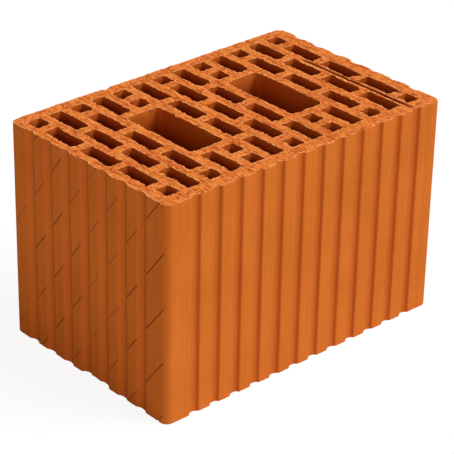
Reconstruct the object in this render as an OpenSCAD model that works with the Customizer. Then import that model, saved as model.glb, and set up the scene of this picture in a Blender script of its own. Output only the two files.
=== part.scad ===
// Perforated clay block, extruded and wire cut, then fired as one piece.
// Millimetres. X runs along the length, Y across the width, Z up along the holes.
// The fluted long face looks to -Y, the plain long face to +Y, and the block stands on Z = 0.

/* [Body] */
// Length of the block
length = 290; // [250:1:340]
// Width of the block, over the lands of the fluted face
width = 190; // [160:1:240]
// Height between the two cut bed faces
height = 190; // [60:1:300]
// Radius of the four upright corners
corner_radius = 6.5; // [2:0.5:9]

/* [Walls] */
// Clay between an end face and the nearest holes
end_wall = 11.2; // [8:0.1:14]
// Clay between the fluted long face and the nearest holes
front_wall = 13.5; // [9:0.1:18]
// Clay between the plain long face and the nearest holes
rear_wall = 11.3; // [6:0.1:16]

/* [Holes] */
// Columns of holes along the length, an odd number
column_count = 13; // [9:2:15]
// Clear width of every slot and small hole
slot_width = 13.2; // [9:0.1:16]
// Clay between the holes of one column
cross_web = 8; // [6:0.1:13]
// Flat across the upright corners of every slot and small hole, along each side
hole_chamfer = 1.1; // [0.5:0.1:3]
// Radius in the upright corners of the grip holes
grip_radius = 5; // [1:0.5:8]
// First column that a grip hole takes up, counted from the middle one, with the next column outward
grip_column = 2; // [1:1:3]

/* [Flutes] */
// Width of a flute on the long face, over its rounded lips
flute_width = 11; // [8.4:0.1:13]
// Depth of a flute on the long face, below the lands
flute_depth = 2.7; // [1.5:0.1:4.1]
// Width of a flute on the end faces, over its rounded lips
end_flute_width = 12; // [7:0.1:14]
// Depth of a flute on the end faces, below the lands
end_flute_depth = 2; // [1.2:0.1:3.4]
// Radius of the lip where a flute meets a land
lip_radius = 1.2; // [0.4:0.1:1.8]
// Flutes on each end face
end_flute_count = 7; // [3:1:8]
// Distance from the fluted long face to the middle of the first end flute
end_flute_front = 30; // [20:0.5:40]
// Distance from the plain long face to the middle of the last end flute
end_flute_rear = 25; // [16:0.5:40]

/* [Hidden] */
$fn = 64;

// Spacing of the columns, and the flutes of the long face lie halfway between them
column_pitch = (length - 2 * end_wall - slot_width) / (column_count - 1);
outer_column = (column_count - 1) / 2;
// Four slots fill the hole field in every other column
field_length = width - front_wall - rear_wall;
slot_length = (field_length - 3 * cross_web) / 4;
// Three slots and a small hole at each end fill the columns between, in a running bond
small_length = (slot_length - cross_web) / 2;
field_front = front_wall - width / 2;
// A grip hole covers the two middle slots and two columns
grip_length = 2 * slot_length + cross_web;
grip_width = column_pitch + slot_width;

end_flute_pitch = (width - end_flute_front - end_flute_rear) / (end_flute_count - 1);
// Small overlap, so that arcs and faces cross where they would only touch
overlap = 0.006;
// Reach of the cutters past the faces
clear = 4;

// Rectangle with rounded corners, centred in X, starting at Y = 0
module rounded_rect(size_x, size_y, radius) {
    translate([-size_x / 2 + radius, 0])
        square([size_x - 2 * radius, size_y]);
    translate([-size_x / 2, radius])
        square([size_x, size_y - 2 * radius]);
    for (side = [-1, 1], y = [radius, size_y - radius])
        translate([side * (size_x / 2 - radius), y])
            circle(r = radius);
}

// Rectangle with its corners cut off, centred in X, starting at Y = 0
module chamfered_rect(size_x, size_y, chamfer) {
    half = size_x / 2;
    inner = half - chamfer;
    polygon([
        [-inner, 0], [inner, 0], [half, chamfer], [half, size_y - chamfer],
        [inner, size_y], [-inner, size_y], [-half, size_y - chamfer], [-half, chamfer]
    ]);
}

// Section of one flute, cut into a face that lies along X and looks to -Y
module flute(size, depth) {
    // Distance from the centre of the flute's arc to the centre of its lip
    reach = (pow(size / 2, 2) + pow(depth, 2)) / (2 * depth);
    radius = reach - lip_radius;
    rise = radius - depth;
    // Depth at which the arc of the flute runs into the lip
    lip_depth = lip_radius * (1 - (rise + lip_radius) / reach);
    translate([0, -rise])
        circle(r = radius + overlap);
    difference() {
        translate([-size / 2, -clear])
            square([size, clear + lip_depth]);
        for (side = [-1, 1])
            translate([side * size / 2, lip_radius - overlap / 2])
                circle(r = lip_radius);
    }
}

// Hole of a column, starting at a distance from the front end of the hole field
module hole(start, size_y) {
    translate([0, field_front + start])
        chamfered_rect(slot_width, size_y, hole_chamfer);
}

// Column with a slot at each end
module slot_column(gripped) {
    step = slot_length + cross_web;
    for (place = gripped ? [0, 3] : [0 : 3])
        hole(place * step, slot_length);
}

// Column with a small hole at each end, half a step behind its neighbours
module bonded_column(gripped) {
    step = slot_length + cross_web;
    inner = small_length + cross_web;
    for (start = [0, field_length - small_length])
        hole(start, small_length);
    if (gripped) {
        // Short holes are left in front of and behind the grip hole
        short = slot_length - inner;
        for (start = [inner, field_length - inner - short])
            hole(start, short);
    } else {
        for (place = [0 : 2])
            hole(inner + place * step, slot_length);
    }
}

// All holes of the block
module hole_field() {
    for (column = [-outer_column : outer_column]) {
        gripped = abs(column) == grip_column || abs(column) == grip_column + 1;
        translate([column * column_pitch, 0]) {
            if (column % 2 == 0) {
                bonded_column(gripped);
            } else {
                slot_column(gripped);
            }
        }
    }
    for (side = [-1, 1])
        translate([side * (grip_column + 0.5) * column_pitch, field_front + slot_length + cross_web])
            rounded_rect(grip_width, grip_length, grip_radius);
}

// Flutes of the long face and of both end faces
module flutes() {
    for (gap = [-outer_column : outer_column - 1])
        translate([(gap + 0.5) * column_pitch, -width / 2])
            flute(flute_width, flute_depth);
    for (side = [-1, 1], place = [0 : end_flute_count - 1])
        translate([side * length / 2, end_flute_front - width / 2 + place * end_flute_pitch])
            rotate(side * 90)
                flute(end_flute_width, end_flute_depth);
}

// The whole block
module clay_block() {
    color([0.80, 0.42, 0.18])
        linear_extrude(height = height)
            difference() {
                translate([0, -width / 2])
                    rounded_rect(length, width, corner_radius);
                flutes();
                hole_field();
            }
}

clay_block();
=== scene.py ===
"""Fired and wire-cut looks of a perforated clay block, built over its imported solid.

Metres, in the frame of the solid: X along the length, the fluted long face to -Y, Z up along the holes.
The skin of the block is worked out in millimetres and scaled when its mesh is made.
"""

import math

import bpy
import numpy as np
from mathutils import Matrix, Vector, noise
from mathutils.geometry import delaunay_2d_cdt
from mathutils.kdtree import KDTree


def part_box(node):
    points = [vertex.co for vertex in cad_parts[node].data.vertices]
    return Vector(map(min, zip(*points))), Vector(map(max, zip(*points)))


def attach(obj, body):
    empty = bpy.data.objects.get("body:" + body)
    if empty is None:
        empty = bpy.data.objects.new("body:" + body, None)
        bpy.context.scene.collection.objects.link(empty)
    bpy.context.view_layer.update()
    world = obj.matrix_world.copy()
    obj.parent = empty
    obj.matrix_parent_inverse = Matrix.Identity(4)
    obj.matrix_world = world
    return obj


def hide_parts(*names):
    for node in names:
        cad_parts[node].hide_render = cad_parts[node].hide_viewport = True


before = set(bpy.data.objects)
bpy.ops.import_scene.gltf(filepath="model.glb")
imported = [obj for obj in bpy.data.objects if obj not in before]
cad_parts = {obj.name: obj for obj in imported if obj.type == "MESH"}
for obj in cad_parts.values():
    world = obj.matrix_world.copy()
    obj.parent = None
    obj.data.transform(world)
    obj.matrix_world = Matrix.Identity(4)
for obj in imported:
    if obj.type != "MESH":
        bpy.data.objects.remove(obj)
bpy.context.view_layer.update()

NODE = "clay_block"
MM = 0.001
low, high = (np.array(corner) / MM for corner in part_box(NODE))
HEIGHT = high[2]

# Sizes are in mm from here to the materials. A number that is added to a seed keeps two layers of noise apart

# Spacing of points along a rim, shortest edge kept, and passes that even out the normals of the outside
RIM_STEP = 1.05
SHORTEST = 0.5
RIM_PASSES = 3
# Points this close in height lie in one plane, and points this close in a bed face are one
LEVEL_TOLERANCE = 0.001
MERGE_DISTANCE = 1e-5
# Spacing of the points in each bed face, and how far they stray from their grid as a share of it
CAP_STEP_TOP = 1.25
CAP_STEP_BOTTOM = 2.2
ROW_JITTER = 0.22
CAP_SEED = 7
# Clear distance of these points from the rims: a share of their spacing, and a fixed part
RIM_CLEAR_SHARE = 0.75
RIM_CLEAR = 0.2
# Depth below a bed face, and the shares of the rim's raggedness and of its drift that the wall keeps there
HOLE_RINGS = [(0, 1, 1), (0.55, 0.55, 0.95), (2.0, 0.12, 0.8), (7, 0, 0.4), (18, 0, 0)]
FACE_RINGS = [(0, 1, 0), (0.4, 0.4, 0), (1.1, 0.1, 0), (3, 0, 0)]
FACE_RING_STEP = 12
# Rings that the wall repeats at the lower bed face, and depth to which a ring belongs to the torn rim
LOWER_RINGS = 4
TORN_DEPTH = 1
# How far the ring below a rim sinks with it
RIM_SINK = 0.3
# Waves of the extruded faces: mean depth, height and spacing
FACE_WAVES = (0.05, 0.07, (21, 60))
# The lower bed face was cut more cleanly than the upper one
LOWER_SHARE = 0.4
SHARP_ANGLE = math.radians(38)
# Relief of the cut bed faces: mean and greatest depth, then height and spacing of what makes it uneven
BED_SEED = 1.5
BED_DEPTH = 0.36
DEEPEST_BED = 1.5
DRAG_MARKS = [(0.34, (2.3, 14)), (0.2, (4.2, 40))]
CRUMBS = (0.34, (2.6, 3.6))
WAVES = (0.12, 35)
# Pits lie where their noise passes a level
PITS = (1.7, (2.9, 3.6))
PIT_LEVEL = 0.28
# Spacing of the fine and broad waves and of the notches in a rim, and the level that notches pass
FINE_RIM = 2.3
BROAD_RIM = 7
NOTCHES = 6.5
NOTCH_LEVEL = 0.32
# Strength of the fine waves, the broad ones and the notches, and the limits of the raggedness that they make
OUTER_WAVES = (0.7, 0.45, 1.8)
OUTER_LIMITS = (-1.0, -0.1)
HOLE_WAVES = (1.25, 0.8, 2.2)
HOLE_LIMITS = (-1.4, 1.0)
# The whole rim of the outside is worn back by this much
OUTER_WEAR = 0.15
# Clean and torn stretches of a hole's rim: spacing, mean, variation and limits
TORN_STRETCH = 17
TORN_MEAN = 0.75
TORN_CHANGE = 1.9
TORN_LIMITS = (0.2, 1.6)
# Seed of the first rim, and the step from one rim to the next
RIM_SEED = 30.0
RIM_SEED_STEP = 0.37

# The cutting wire dragged the upper rims of the holes along X: places in Y, and the drift there
DRIFT_PLACES = [-80, 10, 60, 90]
DRIFT = [-0.5, -3.0, -3.0, -2.2]
# Burr on the side of the holes at -X, in front and at the rear
BURR_FRONT = 1.0
BURR_REAR = 0.0
# Raggedness of the burr: strength, spacing and limits
BURR_WAVES = (1.3, 4.5)
BURR_LIMITS = (0.3, 1.7)
# The burr starts this far from the corners of a hole, and is full after a further run
BURR_START = 1.5
BURR_RUN = 2.5
# Two drag scratches on the upper bed face: ends in X and Y, half width and depth
SCRATCHES = [((114.3, 38), (116.6, -91), 1.5, 2.6), ((118.4, 22), (119.6, -70), 0.6, 0.7)]
# Spacing of the points along a scratch, and places of their rows in half widths from its middle
SCRATCH_STEP = 0.8
SCRATCH_ROWS = (-1.4, -0.8, 0, 0.8, 1.4)
# Clear distance of other points from these rows, and of the rows from the rims
SCRATCH_CLEAR = 0.7
SCRATCH_RIM_CLEAR = 0.8
# Strength and spacing of a scratch's wander and of its change in depth
SCRATCH_WANDER = (0.25, (50, 9))
SCRATCH_CHANGE = (0.5, (50, 5))
# How quickly a scratch runs in and out at its ends, and the depth from which its ridges are full
SCRATCH_RUN = 8
FULL_RIDGE = 2
# Tears that the cutting wire pulled to the front from a corner of a hole: a place in the hole, and the reach
TORN_HOLES = [((127, 1), 3.5), ((127, -42), 5.5)]
TEAR_WIDTH = 3.4
# Distance of a tear from the side of its hole, and reach of the hole's front side
TEAR_INSET = 0.8
TEAR_EDGE = 0.6
# Depth of a flute at which its painted shade is full, and how strong that painted shade is
FLUTE_FULL = 1.6
FLUTE_SHADE = 0.16
# Strength of the painted shade line on the side of each flute of the long face that turns to -X, away from
# the key lamp
FLUTE_SHADE_LINE = 0.4
# Outer points this close to the plane of an end face, of the long face or of its lands belong to it
END_REACH = 4
LONG_REACH = 5
LAND_REACH = 1
# Length at each corner of an end face, and of the long face, that has no flutes
END_CORNER = 12
LONG_CORNER = 8
# Painted shade on the end flutes where they turn to the rear, away from the lamps, and painted light where
# they turn to the front: strengths
END_FLUTE_SHADE = 0.55
END_FLUTE_LIT = 0.3
# Slope at which each of this painted light and shade on the flutes starts, and the further slope that makes
# it full
FLUTE_SHADE_LINE_SLOPE = (0.4, 0.15)
END_SHADE_SLOPE = (0.2, 0.12)
END_LIT_SLOPE = (0.15, 0.2)
# How much faster the painted shade on the walls of the narrow holes deepens with depth than on those of the
# grip holes
NARROW_SHADE = 3.0
NARROW_WIDTH = 20
# How far a rim, and the ring below it, look like the cut bed face
RIM_BED = 0.8
BELOW_RIM_BED = 0.35
# Painted shade of a rim that is torn back: strength, start and limit
RIM_SHADE = 0.4
RIM_SHADE_START = 0.15
RIM_SHADE_LIMIT = 0.4
# What the ring below a rim adds to this painted shade, and the limit there
BELOW_RIM_SHADE = 0.2
BELOW_RIM_LIMIT = 0.5
# Painted shade in the low places of a bed face: start, strength and limit, and that in a scratch
LOW_SHADE_START = 0.5
LOW_SHADE = 0.9
LOW_SHADE_LIMIT = 0.6
SCRATCH_SHADE = 1.5
# Painted highlight flecks on the ridges beside a scratch, as a share of those on the rims
RIDGE_HIGHLIGHT = 0.7

# Chips in the lower edge of the end face at -X and in the upper rear edge: middle, half length and depth
LOWER_CHIP = (-8, 17, 1.9)
REAR_CHIP = (-49, 4.5, 1.2)
# Height over which a chip runs out, and how far it cuts into the face as a share of its depth
CHIP_HEIGHT = 6
CHIP_INSET = 0.5
# Strength and spacing of a chip's unevenness, and reach of the rear face
CHIP_WAVES = (0.2, 9)
REAR_REACH = 1

# Shallow upright line that the die left on the last land of the long face: place in X, half width, depth
DIE_LINE = 129.8
DIE_LINE_HALF = 3.2
DIE_LINE_DEPTH = 0.5

# Diagonal scores on the end face at -X: fall along the face, spacing up it and half width
SCORE_FALL = 1.289
SCORE_SPACING = 47
SCORE_HALF = 0.6
# Height of one score on the front corner: it passes 135 mm at 15 mm behind it
SCORE_START = 135 + SCORE_FALL * 15
# Numbers of the scores, counted down from that one, and how far into the face from a bed each has to reach
SCORE_NUMBERS = range(-5, 5)
SCORE_MARGIN = 4
# Change in depth from one score to the next, and run-out at the ends of each as a share of its length
SCORE_CHANGE = 0.5
SCORE_RUN_OUT = 0.06
# How far the wedge that cuts a score stands out of the face
SCORE_LIFT = 0.5
# Painted shade in a score: least part, part for each mm of depth, and limits
SCORE_SHADE = (0.1, 0.3)
SCORE_SHADE_LIMITS = (0.2, 0.6)
# Front and rear limit of each land in Y, and how deep the scores are on it
SCORED_LANDS = [
    (-92.0, -69.0, 1.4), (-60.5, -47.0, 1.0), (-38.0, -24.5, 0.65), (-15.5, -2.0, 0.6),
    (7.0, 20.5, 0.95), (29.5, 43.0, 1.25), (52.0, 65.5, 1.05), (75.0, 89.0, 0.5),
]


# Shape of the skin


def outlines(mesh):
    """Closed outlines of the solid's upper face in mm, with the clay on their left, the outer one first."""
    edges = set()
    mesh.calc_loop_triangles()
    for triangle in mesh.loop_triangles:
        corners = [mesh.vertices[i].co / MM for i in triangle.vertices]
        if min(corner.z for corner in corners) < HEIGHT - LEVEL_TOLERANCE:
            continue
        keys = [(round(corner.x, 3), round(corner.y, 3)) for corner in corners]
        for a, b in zip(keys, keys[1:] + keys[:1]):
            if (b, a) in edges:
                edges.remove((b, a))
            else:
                edges.add((a, b))
    follow = dict(edges)
    loops = []
    while follow:
        start = min(follow)
        loop = [start]
        point = follow.pop(start)
        while point != start:
            loop.append(point)
            point = follow.pop(point)
        loops.append(np.array(loop))
    return sorted(loops, key=lambda loop: -np.ptp(loop[:, 0]))


def resample(loop):
    """The outline with a point at least every RIM_STEP, and without very short edges."""
    kept = [loop[0]]
    for point in loop[1:]:
        if np.linalg.norm(point - kept[-1]) >= SHORTEST:
            kept.append(point)
    kept = np.array(kept)
    points = []
    for a, b in zip(kept, np.roll(kept, -1, 0)):
        count = math.ceil(np.linalg.norm(b - a) / RIM_STEP)
        points.extend(a + (b - a) * (np.arange(count) / count)[:, None])
    return np.array(points)


def outward(loop, passes=0):
    """Unit normals of an outline that point out of the clay, evened out along it in a number of passes."""
    along = np.roll(loop, -1, 0) - np.roll(loop, 1, 0)
    normals = np.stack([along[:, 1], -along[:, 0]], 1)
    for _ in range(passes + 1):
        normals /= np.linalg.norm(normals, axis=1)[:, None]
        if passes:
            normals = normals + 0.5 * (np.roll(normals, 1, 0) + np.roll(normals, -1, 0))
    return normals / np.linalg.norm(normals, axis=1)[:, None]


def grain(points, size, seed):
    """Smooth noise from about -0.6 to 0.6 over points; size is the spacing of its waves in X and Y."""
    sx, sy = np.broadcast_to(size, 2)
    return np.array([noise.noise((x / sx, y / sy, seed)) for x, y in points])


def above(values, level):
    """How far values lie above a level, and 0 below it."""
    return np.clip(values - level, 0, None)


def bed_relief(points, side):
    """How far a cut bed face lies behind its plane at some points; side is 1 for the upper face."""
    seed = BED_SEED + side
    marks = sum(
        tall * grain(points, spacing, seed + 0.3 * number)
        for number, (tall, spacing) in enumerate(DRAG_MARKS)
    )
    crumbs = CRUMBS[0] * grain(points, CRUMBS[1], seed + 1.7)
    pits = PITS[0] * above(grain(points, PITS[1], seed + 3.1), PIT_LEVEL)
    waves = WAVES[0] * grain(points, WAVES[1], seed + 5.9)
    depth = np.clip(BED_DEPTH - marks - crumbs + pits - waves, 0, DEEPEST_BED)
    return depth * (1 if side > 0 else LOWER_SHARE)


def rim_raggedness(points, seed, outer):
    """How far the torn rim of a hole or of the outside stands out from its wall."""
    fine = grain(points, FINE_RIM, seed)
    broad = grain(points, BROAD_RIM, seed + 2.3)
    notches = above(grain(points, NOTCHES, seed + 4.7), NOTCH_LEVEL)
    on_fine, on_broad, on_notches = OUTER_WAVES if outer else HOLE_WAVES
    waves = on_fine * fine + on_broad * broad
    if outer:
        return np.clip(-OUTER_WEAR - np.abs(waves) - on_notches * notches, *OUTER_LIMITS)
    # Some stretches of a rim were cut cleanly, and others are torn
    torn = np.clip(TORN_MEAN + TORN_CHANGE * grain(points, TORN_STRETCH, seed + 7.9), *TORN_LIMITS)
    return np.clip(torn * waves - on_notches * notches, *HOLE_LIMITS)


class Skin:
    """Vertices, faces and painted values of the mesh that is being built."""

    def __init__(self):
        self.points = []
        self.faces = []
        # Painted values: how far a point looks like a cut bed face, painted shade, how fast the painted shade
        # of a hole's walls deepens, painted highlight on rims, and painted light on the end flutes
        self.painted = {"bed": [], "cavity": [], "hole": [], "rim": [], "lit": []}

    def add(self, points, **values):
        start = len(self.points)
        self.points.extend(map(tuple, points))
        for key, layer in self.painted.items():
            layer.extend(np.broadcast_to(values.get(key, 0.0), len(points)))
        return np.arange(start, len(self.points))


def turned(slopes, start, run):
    """0 to 1 for surfaces that slope to one side, from the slope where this starts, over a further slope."""
    return np.clip((slopes - start) / run, 0, 1)


def flute_shade(loop, normals):
    """Painted shade of the outer points that lie in the flutes of the long face, darkest on their sides that
    turn away from the key lamp.
    """
    inset = loop - low[:2]
    flutes = (inset[:, 1] < LONG_REACH) & (np.abs(loop[:, 0]) < high[0] - LONG_CORNER)
    tone = np.clip(inset[:, 1] / FLUTE_FULL, 0, 1) * FLUTE_SHADE
    line = turned(-normals[:, 0], *FLUTE_SHADE_LINE_SLOPE) * FLUTE_SHADE_LINE
    return np.where(flutes, tone + line, 0)


def end_flute_shade_and_light(loop, normals):
    """Painted shade and painted light of the outer points on the two sides of each flute of the end faces."""
    ends = (np.abs(loop[:, 0]) > high[0] - END_REACH) & (np.abs(loop[:, 1]) < high[1] - END_CORNER)
    end_shade = np.where(ends, turned(normals[:, 1], *END_SHADE_SLOPE), 0)
    lit = np.where(ends, turned(-normals[:, 1], *END_LIT_SLOPE), 0)
    return end_shade * END_FLUTE_SHADE, lit * END_FLUTE_LIT


def tears(loop):
    """Reach of the torn notch at the front right corner of a hole, or nothing at most holes."""
    first, last = loop.min(0), loop.max(0)
    reach = sum(reach for place, reach in TORN_HOLES if (first < place).all() and (place < last).all())
    x = loop[:, 0] - (last[0] - TEAR_WIDTH / 2 - TEAR_INSET)
    front = loop[:, 1] < first[1] + TEAR_EDGE
    return np.where(front, np.clip(1 - (2 * x / TEAR_WIDTH) ** 2, 0, 1) * reach, 0)


def chips(loop, side):
    """Depth of the chips in the upper or the lower edge of the outside; side is 1 for the upper edge."""
    if side > 0:
        along, (middle, half, depth) = loop[:, 0], REAR_CHIP
        edge = loop[:, 1] > high[1] - REAR_REACH
    else:
        along, (middle, half, depth) = loop[:, 1], LOWER_CHIP
        edge = loop[:, 0] < low[0] + END_REACH
    uneven = 1 + CHIP_WAVES[0] * grain(loop, CHIP_WAVES[1], 3.3)
    return np.where(edge, depth * uneven * np.clip(1 - ((along - middle) / half) ** 2, 0, None), 0)


def drag(loop, normals, seed):
    """Shift in X of a hole's upper rim: the drift of the whole rim, and the burr on its side at -X."""
    middle = (loop[:, 1].min() + loop[:, 1].max()) / 2
    burr = np.interp(middle, [low[1], high[1]], [BURR_FRONT, BURR_REAR])
    ragged = np.clip(1 + BURR_WAVES[0] * grain(loop, BURR_WAVES[1], seed + 6.1), *BURR_LIMITS)
    from_corner = np.ptp(loop[:, 1]) / 2 - np.abs(loop[:, 1] - middle)
    inside = np.clip((from_corner - BURR_START) / BURR_RUN, 0, 1)
    return np.interp(middle, DRIFT_PLACES, DRIFT) + burr * ragged * inside * np.clip(normals[:, 0], 0, 1)


def wall(skin, loop, outer, seed):
    """Upright wall on one outline; returns the vertices of its upper and its lower rim."""
    normals = outward(loop, RIM_PASSES if outer else 0)
    rings = FACE_RINGS if outer else HOLE_RINGS
    upper = rim_raggedness(loop, seed, outer)
    lower = rim_raggedness(loop, seed + 20, outer) * LOWER_SHARE
    still = 0 * upper
    pull = np.column_stack([still, still] if outer else [drag(loop, normals, seed), -tears(loop)])
    levels = [(depth, upper * share, pull * drift, 1) for depth, share, drift in rings]
    if outer:
        first = rings[-1][0]
        count = round((HEIGHT - 2 * first) / FACE_RING_STEP)
        levels += [(depth, still, 0, 1) for depth in np.linspace(first, HEIGHT - first, count + 1)[1:-1]]
    # The lower rims were cut without much drag, so their walls stay upright
    levels += [(depth, lower * share, 0, -1) for depth, share, _ in reversed(rings[:LOWER_RINGS])]
    # Painted shade and painted light of the flutes, on the outside only
    shade = lit = still
    if outer:
        end_shade, lit = end_flute_shade_and_light(loop, normals)
        shade = flute_shade(loop, normals) + end_shade
    # Rate at which the painted shade of a hole's walls deepens, faster in the narrow holes
    hole_shade_rate = NARROW_SHADE if np.ptp(loop[:, 0]) < NARROW_WIDTH else 1.0
    line = np.clip(1 - ((loop[:, 0] - DIE_LINE) / DIE_LINE_HALF) ** 2, 0, None) ** 2 * DIE_LINE_DEPTH
    line[loop[:, 1] > low[1] + LAND_REACH] = 0
    ids = []
    for depth, ragged, shift, side in levels:
        place = loop + normals * ragged[:, None] + shift
        sink = np.full(len(loop), float(depth))
        if outer:
            # The extruded faces are a little uneven, only towards the inside
            mean, tall, spacing = FACE_WAVES
            uneven = mean + tall * grain(np.stack([loop.sum(1), sink], 1), spacing, seed + 9)
            worn = chips(loop, side) * max(1 - depth / CHIP_HEIGHT, 0)
            place = place - normals * (np.clip(uneven, 0, None) + line + CHIP_INSET * worn)[:, None]
            sink += worn
        if depth == 0:
            sink += bed_relief(place, side)
        elif depth < TORN_DEPTH:
            sink += RIM_SINK if side > 0 else RIM_SINK * LOWER_SHARE
        bed = RIM_BED if depth == 0 else BELOW_RIM_BED if depth < TORN_DEPTH else 0.0
        # Painted shade: where a rim is torn back, more on the ring below it, and that of the flutes further
        # down
        cavity = np.clip(-RIM_SHADE * ragged - RIM_SHADE_START, 0, RIM_SHADE_LIMIT)
        if depth > TORN_DEPTH:
            cavity = cavity + shade
        elif depth > 0:
            cavity = np.clip(cavity + BELOW_RIM_SHADE, 0, BELOW_RIM_LIMIT)
        # The rim value marks the painted highlight flecks along a rim
        ids.append(skin.add(
            np.column_stack([place, HEIGHT - sink if side > 0 else sink]),
            bed=bed, cavity=cavity, hole=0.0 if outer else hole_shade_rate, rim=1.0 if depth == 0 else 0.0, lit=lit,
        ))
    for upper_ring, lower_ring in zip(ids, ids[1:]):
        skin.faces.extend(zip(upper_ring, lower_ring, np.roll(lower_ring, -1), np.roll(upper_ring, -1)))
    return ids[0], ids[-1]


def crossings(rims, y):
    """Sorted places in X where the rims cross a line along X."""
    starts = np.concatenate(rims)
    ends = np.concatenate([np.roll(rim, -1, 0) for rim in rims])
    crossing = (starts[:, 1] > y) != (ends[:, 1] > y)
    a, b = starts[crossing], ends[crossing]
    return np.sort(a[:, 0] + (y - a[:, 1]) * (b[:, 0] - a[:, 0]) / (b[:, 1] - a[:, 1]))


def rows_inside(rims, step, rng):
    """Jittered points of a triangular grid that lie in the clay, between the rims."""
    points = []
    for row, y in enumerate(np.arange(low[1] + step / 2, high[1], step * math.sqrt(0.75))):
        xs = np.arange(low[0] + step * (0.25 + 0.5 * (row % 2)), high[0], step)
        xs = xs[np.searchsorted(crossings(rims, y), xs) % 2 == 1]
        points.extend((x, y) for x in xs)
    points = np.array(points)
    return points + rng.uniform(-ROW_JITTER, ROW_JITTER, points.shape) * step


def in_clay(points, rims):
    """Those points that lie in the clay, between the rims."""
    return points[[(crossings(rims, y) > x).sum() % 2 == 1 for x, y in points]]


def far_from(points, others, distance):
    """Those points that keep a distance from all the others."""
    tree = KDTree(len(others))
    for index, (x, y) in enumerate(others):
        tree.insert((x, y, 0), index)
    tree.balance()
    return points[[tree.find((x, y, 0))[2] > distance for x, y in points]]


def scratch_rows():
    """Points along and beside each scratch, which let the bed face follow it."""
    rows = []
    for start, end, half, _ in SCRATCHES:
        start, end = np.array(start), np.array(end)
        t = np.linspace(0, 1, round(np.linalg.norm(end - start) / SCRATCH_STEP))
        middle = start + (end - start) * t[:, None]
        rows.extend(middle + np.array([shift * half, 0]) for shift in SCRATCH_ROWS)
    return np.concatenate(rows)


def scratch_profile(points):
    """How much deeper the scratches make points of the upper bed face, and how far each is on a ridge."""
    depth = np.zeros(len(points))
    ridge = np.zeros(len(points))
    for start, end, half, deep in SCRATCHES:
        start, end = np.array(start), np.array(end)
        t = (points[:, 1] - start[1]) / (end[1] - start[1])
        wander = SCRATCH_WANDER[0] * grain(points, SCRATCH_WANDER[1], deep)
        off = points[:, 0] - start[0] - (end[0] - start[0]) * t - wander
        ends = np.clip(SCRATCH_RUN * np.clip(t, 0, 1) * np.clip(1 - t, 0, 1), 0, 1)
        uneven = 1 + SCRATCH_CHANGE[0] * grain(points, SCRATCH_CHANGE[1], half)
        depth = np.maximum(depth, deep * ends * uneven * np.clip(1 - (off / half) ** 2, 0, None))
        beside = np.clip(1 - np.abs(np.abs(off) - 2 * half) / half, 0, None)
        ridge = np.maximum(ridge, ends * beside * np.clip(deep / FULL_RIDGE, 0, 1))
    return depth, ridge


def cap(skin, rims, side, step):
    """Torn bed face between the rims; side is 1 for the top and -1 for the bottom."""
    points = np.array(skin.points)
    outline = np.concatenate(rims)
    flat = [points[rim, :2] for rim in rims]
    inner = rows_inside(flat, step, np.random.default_rng(CAP_SEED + side))
    inner = far_from(inner, np.concatenate(flat), RIM_CLEAR_SHARE * step + RIM_CLEAR)
    if side > 0:
        rows = in_clay(scratch_rows(), flat)
        inner = far_from(inner, rows, SCRATCH_CLEAR)
        inner = np.concatenate([inner, far_from(rows, np.concatenate(flat), SCRATCH_RIM_CLEAR)])
    relief = bed_relief(inner, side)
    deeper, ridge = scratch_profile(inner) if side > 0 else (0 * relief, 0 * relief)
    # Painted shade in the low places of the bed face, less on the ridges beside a scratch, and in the
    # scratches
    cavity = np.clip((relief - LOW_SHADE_START) * LOW_SHADE, 0, LOW_SHADE_LIMIT) * (1 - ridge)
    cavity += np.clip(deeper * SCRATCH_SHADE, 0, 1)
    sink = relief + deeper
    # The rim value here is a painted highlight on the ridges beside the scratches
    ids = skin.add(
        np.column_stack([inner, HEIGHT - sink if side > 0 else sink]),
        bed=1.0, cavity=np.clip(cavity, 0, 1), rim=RIDGE_HIGHLIGHT * ridge,
    )
    index = np.concatenate([outline, ids])
    edges = []
    start = 0
    for rim in rims:
        count = len(rim)
        edges.extend((start + i, start + (i + 1) % count) for i in range(count))
        start += count
    coords = [Vector(p) for p in np.concatenate(flat + [inner])]
    verts, _, faces, origins, _, _ = delaunay_2d_cdt(coords, edges, [], 1, MERGE_DISTANCE)
    lost = [i for i, origin in enumerate(origins) if not origin]
    if lost:
        raise RuntimeError(f"the rims of a bed face cross at {[tuple(verts[i]) for i in lost[:5]]}")
    rim_of = np.repeat(np.arange(len(rims) + 1), [len(rim) for rim in rims] + [len(ids)])
    for face in faces:
        a, b, c = (min(origins[i]) for i in face)
        if rim_of[a] == rim_of[b] == rim_of[c] < len(rims) and (a < b) + (b < c) + (c < a) < 2:
            # The corners run against the rim that they all lie on, so the face spans a hole
            continue
        corners = [int(index[i]) for i in (a, b, c)]
        skin.faces.append(corners if side > 0 else corners[::-1])


def skin_mesh(name, skin, score_shade):
    """Mesh of the skin in metres, with its painted values as attributes; the last argument is the painted
    shade of each face, which darkens the scores.
    """
    mesh = bpy.data.meshes.new(name)
    mesh.from_pydata(np.array(skin.points) * MM, [], [tuple(map(int, face)) for face in skin.faces])
    for key, values in skin.painted.items():
        layer = mesh.attributes.new(key, "FLOAT", "POINT")
        layer.data.foreach_set("value", np.array(values, np.float32))
    layer = mesh.attributes.new("score_shade", "FLOAT", "FACE")
    layer.data.foreach_set("value", np.array(np.broadcast_to(score_shade, len(mesh.polygons)), np.float32))
    mesh.update()
    return mesh


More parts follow.
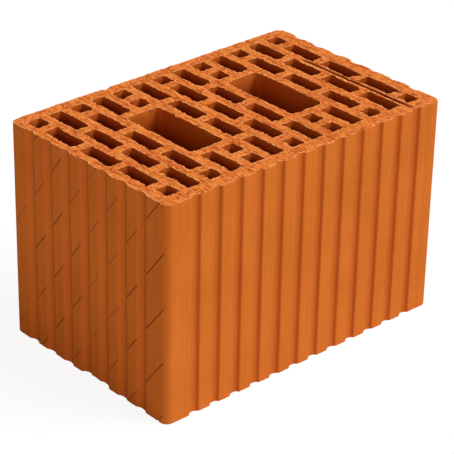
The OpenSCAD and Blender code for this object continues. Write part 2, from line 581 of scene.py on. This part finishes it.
def score_cutters():
    """One mesh of the wedges that cut the diagonal scores into the end face at -X."""
    cutter = Skin()
    tones = []
    face_x = low[0]
    across = np.array([SCORE_FALL, 1]) / math.hypot(SCORE_FALL, 1)
    for front, rear, depth in SCORED_LANDS:
        for number in SCORE_NUMBERS:
            def height(y):
                return SCORE_START - SCORE_FALL * (y - low[1]) - SCORE_SPACING * number
            ends = [np.array([y, height(y)]) for y in (front, rear)]
            heights = [end[1] for end in ends]
            if max(heights) < SCORE_MARGIN or min(heights) > HEIGHT - SCORE_MARGIN:
                continue
            here = depth * (1 + SCORE_CHANGE * noise.noise((front / 7, number * 1.37, 0.5)))
            wide = SCORE_HALF * (here + SCORE_LIFT) / here
            inset = (ends[1] - ends[0]) * SCORE_RUN_OUT
            points = []
            for end, shift in ((ends[0], inset), (ends[1], -inset)):
                points.append((face_x + here, *(end + shift)))
                points.append((face_x - SCORE_LIFT, *(end - across * wide)))
                points.append((face_x - SCORE_LIFT, *(end + across * wide)))
            a, b, c, d, e, f = cutter.add(points)
            faces = [(c, b, a), (e, f, d), (b, e, d, a), (c, f, e, b), (a, d, f, c)]
            cutter.faces.extend(faces)
            # Painted shade of the score's faces, more for a deeper score
            tones.extend([np.clip(SCORE_SHADE[0] + SCORE_SHADE[1] * here, *SCORE_SHADE_LIMITS)] * len(faces))
    return skin_mesh("score_cutters", cutter, tones)


def sharpen_scores(mesh):
    """Keep the shading of the land and of the scores apart along their borders."""
    tones = np.empty(len(mesh.polygons), np.float32)
    mesh.attributes["score_shade"].data.foreach_get("value", tones)
    score_shade = np.where(tones > 0, 1.0, 0.0)
    corners = np.empty(len(mesh.polygons), np.int32)
    mesh.polygons.foreach_get("loop_total", corners)
    edge_of = np.empty(len(mesh.loops), np.int32)
    mesh.loops.foreach_get("edge_index", edge_of)
    beside = np.bincount(edge_of, np.repeat(score_shade, corners), len(mesh.edges))
    for index in np.nonzero((beside > 0.5) & (beside < 1.5))[0]:
        mesh.edges[int(index)].use_edge_sharp = True


def fired_block():
    """The block with torn rims, rough bed faces and scores, as one closed mesh object."""
    skin = Skin()
    loops = [resample(loop) for loop in outlines(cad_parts[NODE].data)]
    rims = [
        wall(skin, loop, number == 0, RIM_SEED + RIM_SEED_STEP * number)
        for number, loop in enumerate(loops)
    ]
    cap(skin, [rim[0] for rim in rims], 1, CAP_STEP_TOP)
    cap(skin, [rim[1] for rim in rims], -1, CAP_STEP_BOTTOM)
    block = bpy.data.objects.new("fired_block", skin_mesh("fired_block", skin, 0.0))
    bpy.context.scene.collection.objects.link(block)
    cutter = bpy.data.objects.new("score_cutters", score_cutters())
    bpy.context.scene.collection.objects.link(cutter)
    modifier = block.modifiers.new("scores", "BOOLEAN")
    modifier.object = cutter
    modifier.operation = "DIFFERENCE"
    modifier.solver = "MANIFOLD"
    evaluated = block.evaluated_get(bpy.context.evaluated_depsgraph_get())
    cut = bpy.data.meshes.new_from_object(evaluated)
    block.modifiers.clear()
    block.data = cut
    bpy.data.objects.remove(cutter)
    cut.shade_smooth()
    cut.set_sharp_from_angle(angle=SHARP_ANGLE)
    sharpen_scores(cut)
    return block


# Materials

# Colours of the extruded faces and the cut bed faces, a painted highlight for rims, painted light for flutes,
# and painted shade for cavities, scores and the walls of the holes
FACE_DARK = (0.585, 0.154, 0.020, 1)
FACE_PALE = (0.645, 0.180, 0.027, 1)
STREAK = (0.50, 0.120, 0.014, 1)
PORE = (0.40, 0.090, 0.010, 1)
CUT_RED = (0.52, 0.082, 0.007, 1)
CUT_PALE = (0.88, 0.300, 0.066, 1)
CUT_PATCH = (0.70, 0.205, 0.036, 1)
DRAG_PALE = (0.86, 0.285, 0.066, 1)
DRAG_RED = (0.46, 0.070, 0.008, 1)
SPECK = (0.36, 0.046, 0.006, 1)
RIM_HIGHLIGHT = (1.0, 0.50, 0.21, 1)
FLUTE_LIT = (0.72, 0.165, 0.040, 1)
SHADE_COLOUR = (0.36, 0.055, 0.009, 1)
DEEP_SHADE_COLOUR = (0.15, 0.010, 0.001, 1)
SCORE_SHADE_COLOUR = (0.30, 0.05, 0.008, 1)
HOLE_SHADE_NEAR = (0.46, 0.080, 0.006, 1)
HOLE_SHADE_DEEP = (0.25, 0.030, 0.003, 1)


class Nodes:
    """Short way to add and join the nodes of one material or world."""

    def __init__(self, owner):
        owner.use_nodes = True
        self.tree = owner.node_tree
        self.tree.nodes.clear()

    def add(self, kind, settings=None, **inputs):
        node = self.tree.nodes.new(kind)
        for key, value in (settings or {}).items():
            setattr(node, key, value)
        for key, value in inputs.items():
            self.put(node.inputs[key.replace("_", " ")], value)
        return node

    def put(self, socket, value):
        if isinstance(value, bpy.types.NodeSocket):
            self.tree.links.new(value, socket)
        else:
            socket.default_value = value

    def noise(self, vector, scale, detail=2.0, roughness=0.5):
        inputs = {"Vector": vector, "Scale": scale, "Detail": detail, "Roughness": roughness}
        return self.add("ShaderNodeTexNoise", **inputs).outputs["Fac"]

    def stretched(self, vector, scale):
        return self.add("ShaderNodeMapping", Vector=vector, Scale=scale).outputs["Vector"]

    def spread(self, value, low_in, high_in, low_out=0.0, high_out=1.0):
        node = self.add("ShaderNodeMapRange", Value=value)
        limits = {"From Min": low_in, "From Max": high_in, "To Min": low_out, "To Max": high_out}
        for key, number in limits.items():
            node.inputs[key].default_value = number
        return node.outputs["Result"]

    def math(self, operation, a, b):
        node = self.add("ShaderNodeMath", {"operation": operation})
        self.put(node.inputs[0], a)
        self.put(node.inputs[1], b)
        return node.outputs[0]

    def mix(self, factor, a, b):
        node = self.add("ShaderNodeMix", {"data_type": "RGBA"})
        self.put(node.inputs[0], factor)
        self.put(node.inputs[6], a)
        self.put(node.inputs[7], b)
        return node.outputs[2]

    def blend(self, factor, a, b):
        node = self.add("ShaderNodeMix", {"data_type": "FLOAT"})
        self.put(node.inputs[0], factor)
        self.put(node.inputs[2], a)
        self.put(node.inputs[3], b)
        return node.outputs[0]

    def painted(self, name):
        return self.add("ShaderNodeAttribute", {"attribute_name": name}).outputs["Fac"]


def clay_material():
    """Fired clay: smooth and faintly streaked where it was extruded, mottled and crumbly where it was cut,
    with painted light and shade on flutes, rims, hollows, scores and hole walls.
    """
    material = bpy.data.materials.new("fired_clay")
    nodes = Nodes(material)
    place = nodes.add("ShaderNodeTexCoord").outputs["Object"]
    bed = nodes.painted("bed")
    cavity = nodes.painted("cavity")

    # Extruded faces
    tone = nodes.spread(nodes.noise(place, 24, 3), 0.3, 0.7)
    streaks = nodes.noise(nodes.stretched(place, (1, 1, 0.025)), 520, 3, 0.6)
    pores = nodes.noise(place, 900, 3, 0.6)
    face = nodes.mix(tone, FACE_DARK, FACE_PALE)
    face = nodes.mix(nodes.spread(streaks, 0.35, 0.7, 0.0, 0.35), face, STREAK)
    face = nodes.mix(nodes.spread(pores, 0.6, 0.75, 0.0, 0.35), face, PORE)

    # Cut bed faces
    blotches = nodes.noise(nodes.stretched(place, (1, 0.55, 1)), 520, 2, 0.55)
    patches = nodes.noise(place, 130, 2)
    drags = nodes.noise(nodes.stretched(place, (1, 0.08, 1)), 620, 3, 0.6)
    cut = nodes.mix(nodes.spread(blotches, 0.36, 0.66), CUT_RED, CUT_PALE)
    cut = nodes.mix(nodes.spread(patches, 0.35, 0.65, 0.0, 0.5), cut, CUT_PATCH)
    cut = nodes.mix(nodes.spread(drags, 0.45, 0.62, 0.0, 0.6), cut, DRAG_PALE)
    lines = nodes.noise(nodes.stretched(place, (1, 0.1, 1)), 360, 3, 0.6)
    cut = nodes.mix(nodes.spread(lines, 0.55, 0.63, 0.0, 0.75), cut, DRAG_RED)
    specks = nodes.noise(nodes.stretched(place, (1, 0.7, 1)), 330, 2, 0.5)
    cut = nodes.mix(nodes.spread(specks, 0.6, 0.67, 0.0, 0.75), cut, SPECK)
    # Painted highlight flecks on the rims and on the ridges beside the scratches
    highlight_flecks = nodes.spread(nodes.noise(place, 420, 2), 0.46, 0.56, 0.0, 0.9)
    cut = nodes.mix(nodes.math("MULTIPLY", nodes.painted("rim"), highlight_flecks), cut, RIM_HIGHLIGHT)
    colour = nodes.mix(bed, face, cut)
    # Painted light on the sides of the end flutes that turn to the front
    colour = nodes.mix(nodes.painted("lit"), colour, FLUTE_LIT)
    # Painted shade in the low places, scratches and torn rims, and on the shaded sides of the flutes, darkest
    # where it is strongest
    colour = nodes.mix(cavity, colour, SHADE_COLOUR)
    colour = nodes.mix(nodes.spread(cavity, 0.55, 0.95), colour, DEEP_SHADE_COLOUR)
    # Painted shade in the scores
    colour = nodes.mix(nodes.painted("score_shade"), colour, SCORE_SHADE_COLOUR)

    # Painted shade on the walls of the holes, deeper away from the two bed faces
    level = nodes.add("ShaderNodeSeparateXYZ", Vector=place).outputs["Z"]
    depth = nodes.math("MINIMUM", level, nodes.math("SUBTRACT", HEIGHT * MM, level))
    shade_depth = nodes.math("MULTIPLY", nodes.painted("hole"), depth)
    colour = nodes.mix(nodes.spread(shade_depth, 0.0, 0.006, 0.0, 0.6), colour, HOLE_SHADE_NEAR)
    colour = nodes.mix(nodes.spread(shade_depth, 0.0015, 0.028), colour, HOLE_SHADE_DEEP)

    crumbs = nodes.noise(place, 520, 4, 0.6)
    on_faces = nodes.math("ADD", nodes.math("MULTIPLY", streaks, 0.25), nodes.math("MULTIPLY", pores, 0.12))
    on_cuts = nodes.math("ADD", nodes.math("MULTIPLY", crumbs, 0.9), nodes.math("MULTIPLY", drags, 0.35))
    height = nodes.blend(bed, on_faces, on_cuts)
    bump = nodes.add("ShaderNodeBump", Strength=0.7, Distance=0.0005, Height=height).outputs["Normal"]
    roughness = nodes.blend(bed, nodes.spread(streaks, 0.3, 0.7, 0.78, 0.9), 0.95)
    shader = nodes.add("ShaderNodeBsdfPrincipled", Roughness=roughness, Normal=bump)
    nodes.put(shader.inputs["Base Color"], colour)
    shader.inputs["Specular IOR Level"].default_value = 0.12
    nodes.add("ShaderNodeOutputMaterial", Surface=shader.outputs[0])
    return material


# Studio

FLOOR_SIZE = 8.0
# Colour of the floor in the light of the block and in the picture, its glow, and the share of the shadow
FLOOR_LIT = (0.68, 0.65, 0.61, 1)
FLOOR_SEEN = (0.95, 0.95, 0.95, 1)
FLOOR_GLOW = 1.03
FLOOR_SHADOW = 0.12
WHITE = (1, 1, 1, 1)
AMBIENT = (0.07, 0.05, 0.03, 1)
# Azimuth, elevation and roll of the camera in degrees, the point that it looks at and its distance from there
CAMERA_ANGLES = (-42.49, 28.26, 1.18)
CAMERA_TARGET = (-0.0030, -0.0043, 0.0871)
CAMERA_DISTANCE = 1.709
# In mm
SENSOR_WIDTH = 36
FOCAL_LENGTH = 166.46
# Direction to each lamp, strength, spread in degrees and colour
LAMPS = {
    "key": ((0.43, -0.47, 0.77), 3.15, 36, (1, 0.99, 0.97)),
    "fill": ((-0.66, -0.62, 0.42), 0.98, 30, (1, 0.77, 0.5)),
    "rear_fill": ((0.62, 0.74, 0.25), 0.8, 60, (1, 0.9, 0.8)),
}


def seen_directly(nodes):
    """1 for rays that show the background, 0 for those that carry its light to the block."""
    path = nodes.add("ShaderNodeLightPath")
    shown = nodes.math("MAXIMUM", path.outputs["Is Camera Ray"], path.outputs["Is Glossy Ray"])
    return nodes.math("MAXIMUM", shown, path.outputs["Is Transmission Ray"])


def studio_floor():
    """Pale floor that looks white and keeps the block's shadow."""
    half = FLOOR_SIZE / 2
    corners = [(-half, -half, 0), (half, -half, 0), (half, half, 0), (-half, half, 0)]
    mesh = bpy.data.meshes.new("floor")
    mesh.from_pydata(corners, [], [(0, 1, 2, 3)])
    floor = bpy.data.objects.new("floor", mesh)
    bpy.context.scene.collection.objects.link(floor)
    material = bpy.data.materials.new("floor")
    nodes = Nodes(material)
    pale = nodes.add("ShaderNodeBsdfDiffuse", Color=FLOOR_LIT)
    white = nodes.add("ShaderNodeBsdfDiffuse", Color=FLOOR_SEEN)
    glow = nodes.add("ShaderNodeEmission", Color=WHITE, Strength=FLOOR_GLOW)
    shown = nodes.add("ShaderNodeMixShader", Fac=FLOOR_SHADOW)
    nodes.put(shown.inputs[1], glow.outputs[0])
    nodes.put(shown.inputs[2], white.outputs[0])
    both = nodes.add("ShaderNodeMixShader", Fac=seen_directly(nodes))
    nodes.put(both.inputs[1], pale.outputs[0])
    nodes.put(both.inputs[2], shown.outputs[0])
    nodes.add("ShaderNodeOutputMaterial", Surface=both.outputs[0])
    mesh.materials.append(material)


def studio_light():
    """White surroundings with a low warm light, and the lamps."""
    world = bpy.data.worlds.new("studio")
    bpy.context.scene.world = world
    nodes = Nodes(world)
    colour = nodes.mix(seen_directly(nodes), AMBIENT, WHITE)
    background = nodes.add("ShaderNodeBackground", Color=colour, Strength=1.0)
    nodes.add("ShaderNodeOutputWorld", Surface=background.outputs[0])
    for name, (towards, strength, spread, colour) in LAMPS.items():
        sun = bpy.data.lights.new(name, "SUN")
        sun.energy = strength
        sun.angle = math.radians(spread)
        sun.color = colour
        lamp = bpy.data.objects.new(name, sun)
        lamp.rotation_euler = Vector(towards).to_track_quat("Z", "Y").to_euler()
        bpy.context.scene.collection.objects.link(lamp)


def photo_camera():
    """Camera at the photo's viewing angle, with the photo's slight roll."""
    azimuth, elevation, roll = map(math.radians, CAMERA_ANGLES)
    back = Vector((
        math.sin(azimuth) * math.cos(elevation),
        -math.cos(azimuth) * math.cos(elevation),
        math.sin(elevation),
    ))
    right = Vector((0, 0, 1)).cross(back).normalized()
    up = back.cross(right)
    across = right * math.cos(roll) + up * math.sin(roll)
    upward = up * math.cos(roll) - right * math.sin(roll)
    lens = bpy.data.cameras.new("camera")
    lens.sensor_width = SENSOR_WIDTH
    lens.lens = FOCAL_LENGTH
    camera = bpy.data.objects.new("camera", lens)
    turn = Matrix((across, upward, back)).transposed().to_4x4()
    place = Vector(CAMERA_TARGET) + back * CAMERA_DISTANCE
    camera.matrix_world = Matrix.Translation(place) @ turn
    bpy.context.scene.collection.objects.link(camera)
    bpy.context.scene.camera = camera


block = fired_block()
block.data.materials.clear()
block.data.materials.append(clay_material())
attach(block, "root")
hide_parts(NODE)
studio_floor()
studio_light()
photo_camera()
bpy.context.scene.view_settings.view_transform = "Standard"
